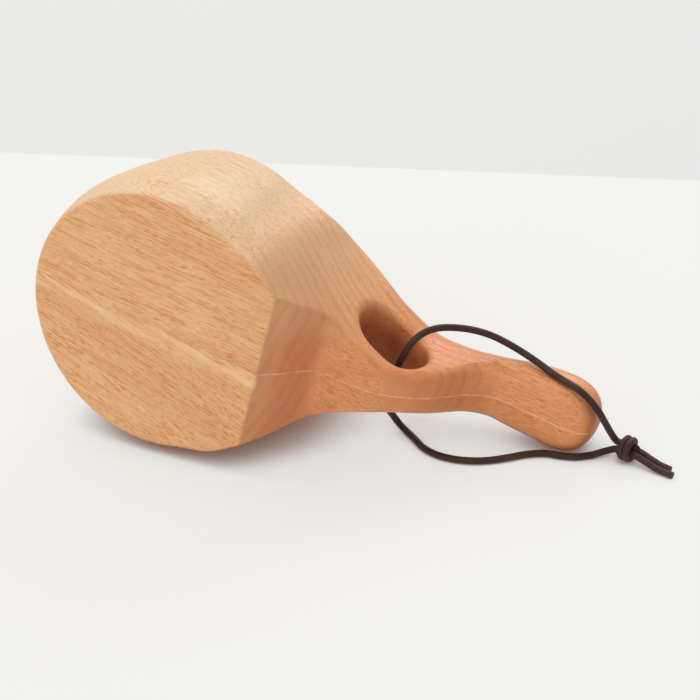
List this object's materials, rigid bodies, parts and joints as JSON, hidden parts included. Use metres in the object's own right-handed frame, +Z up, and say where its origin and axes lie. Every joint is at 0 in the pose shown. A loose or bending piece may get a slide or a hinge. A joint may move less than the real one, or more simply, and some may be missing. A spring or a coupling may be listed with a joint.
{
  "type": "wooden cup",
  "caption": "Round wooden drinking cup with a broad side handle, a finger hole through the handle and a knotted cord loop; it lies on its side on a table.",
  "frame": {"origin": "on the table, below the middle of the box of the cup as it lies, without its cord", "axes": "+Z up, +X from the bowl towards the handle, +Y from the base towards the rim; the cup lies on the side of its bowl and on the tip of its handle"},
  "size_m": [0.2044, 0.0744, 0.092],
  "materials": {
    "beech_left": "oiled, satin",
    "beech_right": "oiled, satin",
    "cord": "matt, round leather cord"
  },
  "bodies": {
    "cup": {"left_half": "beech_left", "right_half": "beech_right", "cord_loop": "cord", "cord_knot": "cord", "long_cord_tail": "cord", "short_cord_tail": "cord"}
  },
  "joints": []
}
